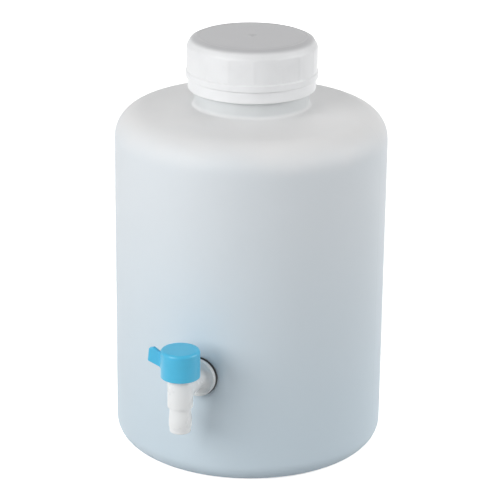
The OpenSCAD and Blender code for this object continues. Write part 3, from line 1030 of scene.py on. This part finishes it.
def arm_outline():
    """Outline of the arm, its dished flange and its shank, with height measured along the arm."""
    s = sizes("spigot")
    dish = s.flange_radius - s.rim_width
    front, back = s.flange_front, s.flange_front + s.flange_t
    root = s.shank_radius - s.shank_ridge
    corners = [
        (0, 0, 0),
        (s.arm_radius, 0, 0),
        (s.arm_radius, front, s.flare),
        (dish - 0.1 * MM, front, 0.4 * MM),
        (dish + 0.1 * MM, front - s.rim_height, 0.4 * MM),
        (s.flange_radius, front - s.rim_height, 0.6 * MM),
        (s.flange_radius, back, 0.5 * MM),
        (s.shank_radius, back, 0.4 * MM),
        (s.shank_radius, back + 2 * MM, 0.3 * MM),
        (root, back + 3 * MM, 0.4 * MM),
        (root, s.shank_end - 0.8 * MM, 0.3 * MM),
        (root - 0.8 * MM, s.shank_end, 0),
        (0, s.shank_end, 0),
    ]
    return rounded(corners)


def arm_corner():
    """A closed ring that fills the corner round the arm at the barrel, as a rolled ball would."""
    s = sizes("spigot")
    ball, sunk_in, sunk_back, lifted = s.arm_corner, 1 * MM, 2.5 * MM, 1.02
    columns, steps = 96, 7
    wide, tall = s.arm_radius + ball, s.barrel_radius + ball
    corners, faces = [], []
    for a in even(columns):
        x, z = wide * math.cos(a), wide * math.sin(a)
        y = math.sqrt(max(tall * tall - x * x, 0))
        centre = Vector((x, y, z))
        inner = (s.arm_radius - sunk_in) / wide
        corners.append(Vector((x * inner, y - sunk_back, z * inner)))
        in_arm, in_barrel = s.arm_radius / wide, s.barrel_radius / tall
        on_arm = Vector((x * in_arm, y, z * in_arm)) - centre
        on_barrel = Vector((x * in_barrel, y * in_barrel, z)) - centre
        sweep = on_arm.angle(on_barrel)
        for j in range(steps + 1):
            t = j / steps
            bow = on_arm * math.sin(sweep * (1 - t)) + on_barrel * math.sin(sweep * t)
            corners.append(centre + bow / math.sin(sweep) * (lifted if j in (0, steps) else 1))
    row = steps + 2
    for k in range(columns):
        here, on = k * row, (k + 1) % columns * row
        for j in range(row):
            up = (j + 1) % row
            faces.append((here + j, here + up, on + up, on + j))
    return new_piece("corner", corners, faces)


def arm_and_shank(material):
    """The arm with its dished flange and its threaded shank."""
    s = sizes("spigot")
    back = s.flange_front + s.flange_t
    start, pitch, width, turns = back + 4 * MM, 2 * MM, 1.7 * MM, 6.0

    def arm_step(point):
        return 0.3 * MM if point[1] > back else 1.5 * MM

    arm = revolved("arm", arm_outline(), even(96), arm_step, material)
    shape, root = (pitch, s.shank_ridge, width), s.shank_radius - s.shank_ridge
    grow_thread(arm, shape, start, turns, root, material)
    place(arm, ALONG_ARM)
    return arm


def stops():
    """The two stops on the collar, which end the quarter turn of the knob's lug."""
    s = sizes("spigot")
    top, sunk = s.collar_z + s.collar_t, 0.3 * MM
    radii = s.barrel_radius - 1 * MM, s.collar_radius - 0.3 * MM
    heights = top - sunk, top + s.stop_height
    away = s.stop_width + s.stop_gap
    sweep = math.radians(spigot_turn["range_deg"][1])
    middles = LUG_AT - away, LUG_AT + sweep + away
    return [sector("stop", *radii, middle, s.stop_width, *heights) for middle in middles]


def passages():
    """The ways down through the spout and along through the arm, as rods that cut them."""
    s = sizes("spigot")
    down = revolved("down", passage_outline(), even(96))
    reach = s.shank_end + 6.2 * MM
    along = revolved("along", [(0, 0), (s.inlet, 0), (s.inlet, reach), (0, reach)], even(64))
    place(along, ALONG_ARM)
    return [down, along]


class CARBOY_OT_spigot(bpy.types.Operator):
    """Build the spigot's white body, from the barbed spout to the threaded shank"""

    bl_idname = "carboy.spigot"
    bl_label = "Spigot body"

    def execute(self, context):
        white = finishes()["spigot_plastic"]
        piece = revolved("spigot_body", barrel_outline(), even(112), 1.5 * MM, white)
        combine(piece, [arm_and_shank(white), arm_corner(), *stops()], "UNION")
        combine(piece, passages(), "DIFFERENCE")
        place(piece, TO_SPIGOT)
        polish(piece, sharp=36)
        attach(piece, "bottle")
        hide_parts("tap_body")
        return {"FINISHED"}


def knob_outline():
    """Outline of the knob's shell and hub."""
    k = sizes("knob")
    foot, top = knob_low.z - inlet.z, knob_high.z - inlet.z
    inner = k.radius - k.wall
    corners = [
        (0, top, 0),
        (k.radius, top, k.top_round),
        (k.radius, foot, 0.6 * MM),
        (inner, foot, 0.5 * MM),
        (inner, foot + 0.6 * MM, 0.1 * MM),
        (inner - 1.2 * MM, foot + 1.1 * MM, 0.35 * MM),
        (inner, foot + 1.7 * MM, 0.1 * MM),
        (inner, top - k.top_t, 0.9 * MM),
        (k.hub_radius, top - k.top_t, 0.6 * MM),
        (k.hub_radius, k.hub_foot, 0.4 * MM),
        (0, k.hub_foot, 0),
    ]
    return rounded(corners)


def lever_outline():
    """Side view of the lever, a blade that rakes up away from the knob."""
    k = sizes("knob")
    root = k.radius - 2.6 * MM
    tip = -knob_low.x
    low = knob_low.z - inlet.z + k.lever_foot
    tip_low = low + k.lever_rise
    tip_high = tip_low + k.lever_tip
    crest = tip - 1.8 * MM - k.lever_facet
    slant = k.lever_rise / (tip - k.radius)
    corners = [
        (root, low - slant * (k.radius - root), 0.9 * MM),
        (tip, tip_low, 1.3 * MM),
        (tip - 1.2 * MM, tip_high, 1.2 * MM),
        (crest, tip_high + k.lever_crest, 1.3 * MM),
        (root, low + k.lever_root - 1.4 * MM, 0.9 * MM),
    ]
    return rounded(corners, loop=True)


def inwards(outline):
    """The direction inwards from each point of a closed outline."""
    ahead = np.roll(outline, -1, 0) - np.roll(outline, 1, 0)
    sideways = np.column_stack((-ahead[:, 1], ahead[:, 0]))
    sideways /= np.linalg.norm(sideways, axis=1)[:, None]
    to_middle = outline.mean(0) - outline
    return sideways if (to_middle * sideways).sum() > 0 else -sideways


def lever_rings(outline, half, edge):
    """Rings of one side of the lever, each with its distance from the lever's middle plane."""
    inward, middle = inwards(outline), outline.mean(0)
    rings = []
    for a in np.linspace(0, math.pi / 2, 5):
        in_by = edge * (1 - math.cos(a))
        rings.append((outline + inward * in_by, half - edge + edge * math.sin(a)))
    flat = rings[-1][0]
    # smaller and smaller rings fill the flat side
    for share in (0.86, 0.7, 0.52, 0.34, 0.16):
        rings.append((middle + (flat - middle) * share, half))
    return rings


def lever():
    """The lever as a pillow-edged blade whose root runs out into the knob."""
    k = sizes("knob")
    half, edge, blend, rise = k.lever_t / 2, 0.8 * MM, 2.2 * MM, 6 * MM
    outline = np.array(spaced(lever_outline(), 0.7 * MM, loop=True))
    rings, middle_z = lever_rings(outline, half, edge), outline.mean(0)[1]
    corners, rows = [], []
    for side in (-1, 1):
        for ring, y in rings if side > 0 else rings[::-1]:
            rows.append(range(len(corners), len(corners) + len(ring)))
            corners += [(-x, side * y, z) for x, z in ring]
    n = len(outline)
    faces = [
        (low[i], low[(i + 1) % n], high[(i + 1) % n], high[i])
        for low, high in zip(rows, rows[1:])
        for i in range(n)
    ]
    faces += [tuple(rows[0]), tuple(rows[-1])]

    def spread(places):
        """Widens the lever where it nears the knob."""
        x, y, z = places.T
        near = np.clip((np.hypot(x, y) - k.radius) / blend, 0, 1)
        out = blend * (1 - np.sqrt(1 - (1 - near) ** 2))
        return np.column_stack((x, y * (1 + out / half), z + out * (z - middle_z) / rise))

    piece = new_piece("lever", corners, faces)
    reshape(piece, spread)
    return piece


def lug():
    """The lug under the knob's top, which runs between the spigot's stops."""
    k, s = sizes("knob"), sizes("spigot")
    radii = s.barrel_radius + 0.4 * MM, k.radius - k.wall + 1 * MM
    foot = s.collar_z + s.collar_t + 0.4 * MM
    ceiling = knob_high.z - inlet.z - k.top_t
    return sector("lug", *radii, LUG_AT, s.stop_width, foot, ceiling + 1 * MM)


def drive_socket():
    """The hub's socket with two flats that turns the plug, as a rod that cuts it."""
    k = sizes("knob")
    outline = []
    for a in even(48):
        x = k.drive_radius * math.cos(a)
        outline.append((max(-k.drive_flat, min(k.drive_flat, x)), k.drive_radius * math.sin(a)))
    end = knob_low.z - inlet.z + k.drive_depth
    return prism("socket", outline, k.hub_foot - CLEAR_OF, end)


class CARBOY_OT_knob(bpy.types.Operator):
    """Build the blue knob with its lever, hub and stop lug"""

    bl_idname = "carboy.knob"
    bl_label = "Knob"

    def execute(self, context):
        blue = finishes()["knob_plastic"]
        piece = revolved("blue_knob", knob_outline(), even(120), 2 * MM, blue)
        combine(piece, [lever(), lug()], "UNION")
        combine(piece, [drive_socket()], "DIFFERENCE")
        place(piece, TO_SPIGOT)
        polish(piece, sharp=38)
        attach(piece, "valve")
        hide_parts("knob")
        return {"FINISHED"}


def gasket_outline():
    """Outline of the outer gasket, with height measured along the arm."""
    s = sizes("spigot")
    inner, outer = s.shank_radius + s.hole_gap, gasket_high.x - 0.3 * MM
    front, back = gasket_low.y - inlet.y, gasket_high.y - inlet.y
    corners = [
        (inner, front, 0.3 * MM),
        (outer, front, 0.7 * MM),
        (outer, back, 0.7 * MM),
        (inner, back, 0.3 * MM),
    ]
    return rounded(corners, loop=True)


class CARBOY_OT_seals(bpy.types.Operator):
    """Build the rubber gasket that shows round the flange, and finish the seals inside"""

    bl_idname = "carboy.seals"
    bl_label = "Seals"

    def execute(self, context):
        rubber, outline = finishes()["black_rubber"], gasket_outline()
        piece = revolved("flange_gasket", outline, even(128), 1.5 * MM, rubber, loop=True)
        place(piece, TO_SPIGOT @ ALONG_ARM)
        polish(piece)
        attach(piece, "bottle")
        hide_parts("outer_gasket")
        for node in ("inner_gasket", "upper_o_ring", "lower_o_ring"):
            paint(node, rubber)
        return {"FINISHED"}


class CARBOY_OT_fittings(bpy.types.Operator):
    """Finish the parts that stay as the frame gives them: lock nut, plug and sealing disc"""

    bl_idname = "carboy.fittings"
    bl_label = "Fittings"

    def execute(self, context):
        paint("lock_nut", finishes()["spigot_plastic"])
        paint("valve_plug", finishes()["plug_plastic"])
        paint("cap_liner", finishes()["foam_liner"])
        return {"FINISHED"}


# ---- stage ----


WHITE = (1, 1, 1, 1)
FLOOR_SEEN = (0.9, 0.9, 0.9, 1)
FLOOR_BY_BOUNCE = (0.45, 0.45, 0.46, 1)
FLOOR_LIFT = 0.74
LAMPS = (  # name, azimuth, elevation, distance, width, height, watts, mirrored
    ("key", -46, 24, 1.9, 1.5, 1.0, 26, True),
    ("fill", 84, 20, 2.4, 1.8, 1.2, 29, True),
    ("back", 180, 26, 2.4, 2.0, 1.4, 13, False),
)


def camera_matrix():
    """Where the camera stands and how it is turned."""
    s = sizes("stage")
    flat = Vector((math.sin(s.azimuth), -math.cos(s.azimuth), 0))
    back = flat * math.cos(s.elevation) + Vector((0, 0, math.sin(s.elevation)))
    right = Vector((math.cos(s.azimuth), math.sin(s.azimuth), 0))
    up = back.cross(right)
    across = right * math.cos(s.roll) + up * math.sin(s.roll)
    upright = up * math.cos(s.roll) - right * math.sin(s.roll)
    turn = Matrix((across, upright, back)).transposed().to_4x4()
    return Matrix.Translation(Vector((0, 0, s.aim)) + back * s.distance) @ turn


def lamp(name, azimuth, elevation, distance, width, height, watts, mirrored):
    """A wide soft lamp that looks at the carboy's middle.

    Its azimuth is measured from the camera's, to the right. A lamp that isn't mirrored lights the
    surfaces and doesn't show in their gloss.
    """
    middle = Vector((0, 0, 170 * MM))
    a, e = sizes("stage").azimuth + math.radians(azimuth), math.radians(elevation)
    back = Vector((math.sin(a) * math.cos(e), -math.cos(a) * math.cos(e), math.sin(e)))
    data = bpy.data.lights.new(name, "AREA")
    data.shape = "RECTANGLE"
    data.size = width
    data.size_y = height
    data.energy = watts
    made = new_object(name, data)
    made.visible_glossy = mirrored
    turn = back.to_track_quat("Z", "Y").to_matrix().to_4x4()
    made.matrix_world = Matrix.Translation(middle + back * distance) @ turn


def seen_white(net):
    """1 for a ray that comes from the camera, or from it by way of a gloss or a clear piece."""
    path = net.add("ShaderNodeLightPath")
    kinds = "Camera", "Glossy", "Transmission"
    camera, gloss, clear = (net.out(path, f"Is {kind} Ray") for kind in kinds)
    return net.math("MINIMUM", camera + gloss + clear, 1.0)


def white_world(ambient):
    """A world that gives a little light from all round, and looks white."""
    world = bpy.data.worlds.new("studio")
    world.use_nodes = True
    bpy.context.scene.world = world
    net = Net(world.node_tree)
    strength = ambient + seen_white(net) * (1 - ambient)
    light = net.node("ShaderNodeBackground", values={"Color": WHITE, "Strength": strength})
    net.add("ShaderNodeOutputWorld", values={"Surface": light})


def pale_floor():
    """A wide white floor that keeps the carboy's shadow."""
    material = bpy.data.materials.new("pale_floor")
    material.use_nodes = True
    net = Net(material.node_tree)
    seen = seen_white(net)
    tone = net.mix(seen, FLOOR_BY_BOUNCE, FLOOR_SEEN)
    matt = net.node("ShaderNodeBsdfDiffuse", values={"Color": tone})
    lift = net.node("ShaderNodeEmission", values={"Color": WHITE, "Strength": seen * FLOOR_LIFT})
    both = net.node("ShaderNodeAddShader", values={0: matt, 1: lift})
    net.add("ShaderNodeOutputMaterial", values={"Surface": both})
    reach, drop = 12.0, 0.1 * MM
    signs = (-1, -1), (1, -1), (1, 1), (-1, 1)
    corners = [(reach * x, reach * y, -drop) for x, y in signs]
    mesh = bpy.data.meshes.new("floor")
    mesh.from_pydata(corners, [], [(0, 1, 2, 3)])
    mesh.materials.append(material)
    floor = new_object("floor", mesh)


class CARBOY_OT_stage(bpy.types.Operator):
    """Set up the floor, the lamps and the camera"""

    bl_idname = "carboy.stage"
    bl_label = "Stage"

    def execute(self, context):
        s = sizes("stage")
        data = bpy.data.cameras.new("camera")
        data.sensor_width = 36
        data.lens = s.lens
        data.clip_end = 50
        camera = new_object("camera", data)
        camera.matrix_world = camera_matrix()
        context.scene.camera = camera
        context.scene.view_settings.view_transform = "Standard"
        white_world(s.ambient)
        pale_floor()
        for row in LAMPS:
            lamp(*row)
        return {"FINISHED"}


# ---- panel and registration ----

GROUPS = {
    "bottle": CarboyBottle,
    "thread": CarboyThread,
    "cap": CarboyCap,
    "spigot": CarboySpigot,
    "knob": CarboyKnob,
    "finish": CarboyFinish,
    "stage": CarboyStage,
}
STEPS = ["bottle", "cap", "spigot", "knob", "seals", "fittings", "stage"]


class CARBOY_PT_panel(bpy.types.Panel):
    """Lists the carboy's sizes and the steps that build it"""

    bl_idname = "CARBOY_PT_panel"
    bl_label = "Carboy"
    bl_space_type = "VIEW_3D"
    bl_region_type = "UI"
    bl_category = "Carboy"

    def draw(self, context):
        for step in STEPS:
            self.layout.operator("carboy." + step)
        for name, group in GROUPS.items():
            box = self.layout.box()
            box.label(text=name.capitalize())
            for key in group.__annotations__:
                box.prop(getattr(context.scene, "carboy_" + name), key)


CLASSES = [
    *GROUPS.values(),
    CARBOY_OT_bottle,
    CARBOY_OT_cap,
    CARBOY_OT_spigot,
    CARBOY_OT_knob,
    CARBOY_OT_seals,
    CARBOY_OT_fittings,
    CARBOY_OT_stage,
    CARBOY_PT_panel,
]


def register():
    for made in CLASSES:
        bpy.utils.register_class(made)
    for name, group in GROUPS.items():
        setattr(bpy.types.Scene, "carboy_" + name, bpy.props.PointerProperty(type=group))


def unregister():
    for name in GROUPS:
        delattr(bpy.types.Scene, "carboy_" + name)
    for made in reversed(CLASSES):
        bpy.utils.unregister_class(made)


def main():
    register()
    for step in STEPS:
        getattr(bpy.ops.carboy, step)()


if __name__ == "__main__":
    main()
